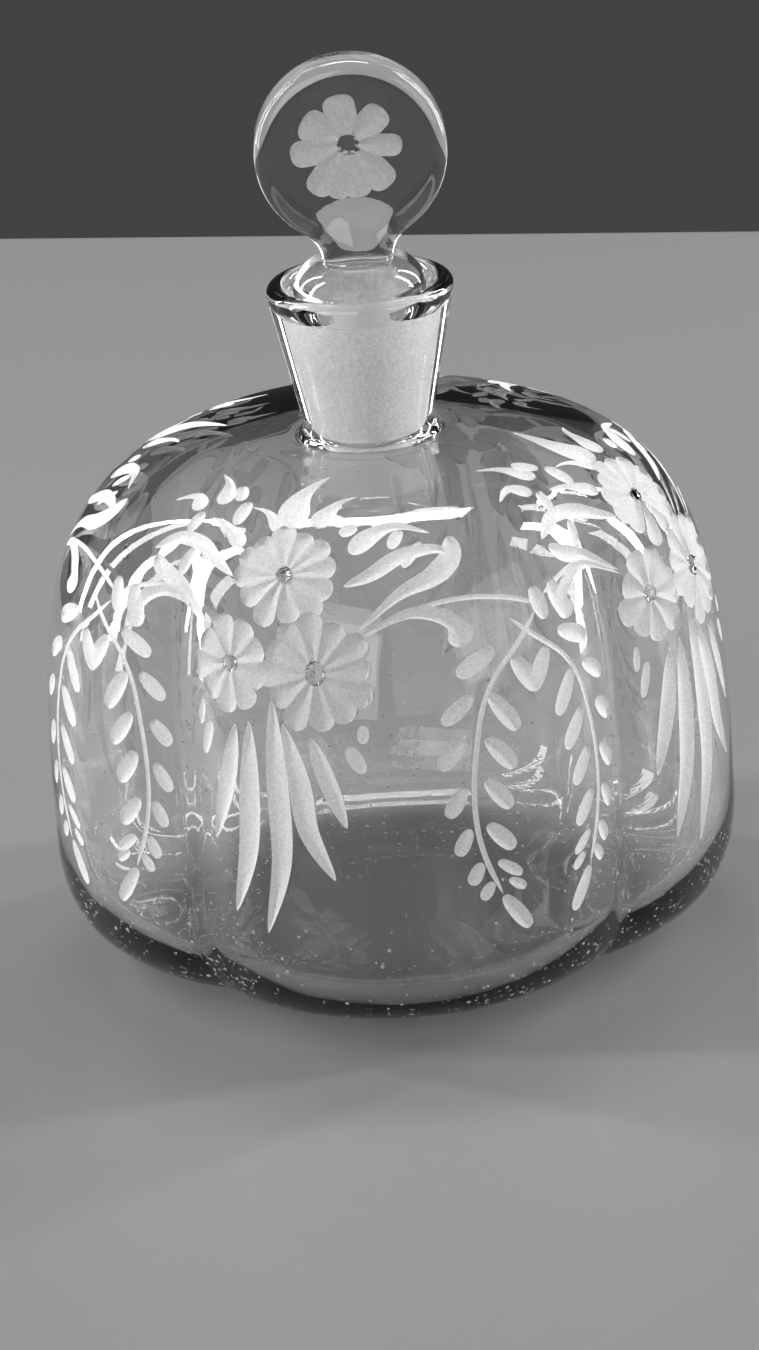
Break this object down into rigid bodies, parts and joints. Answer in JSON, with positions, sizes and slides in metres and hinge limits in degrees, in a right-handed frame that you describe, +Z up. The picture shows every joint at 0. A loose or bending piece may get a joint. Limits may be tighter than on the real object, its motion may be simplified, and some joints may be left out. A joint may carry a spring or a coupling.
{
  "type": "perfume bottle",
  "caption": "Squat lobed clear glass perfume bottle with engraved flowers, a flared conical neck and a ground-in stopper with an upright disc finial that lifts out.",
  "frame": {"origin": "middle of the flat base, on the turning axis of the bottle", "axes": "+Z up along the neck; -Y towards the front, which the face of the stopper's disc looks at; +X to the right of someone facing the front"},
  "size_m": [0.105, 0.105, 0.1401],
  "materials": {
    "clear_glass": "clear blown glass with a frosted wheel-engraved decoration",
    "stopper_glass": "clear polished glass with a frosted ground plug"
  },
  "bodies": {
    "bottle": {"bottle": "clear_glass"},
    "stopper": {"stopper": "stopper_glass"}
  },
  "joints": [
    {"name": "stopper_lift", "type": "slide", "parent": "bottle", "child": "stopper", "axis": [0, 0, 1], "range_m": [0, 0.035]}
  ]
}
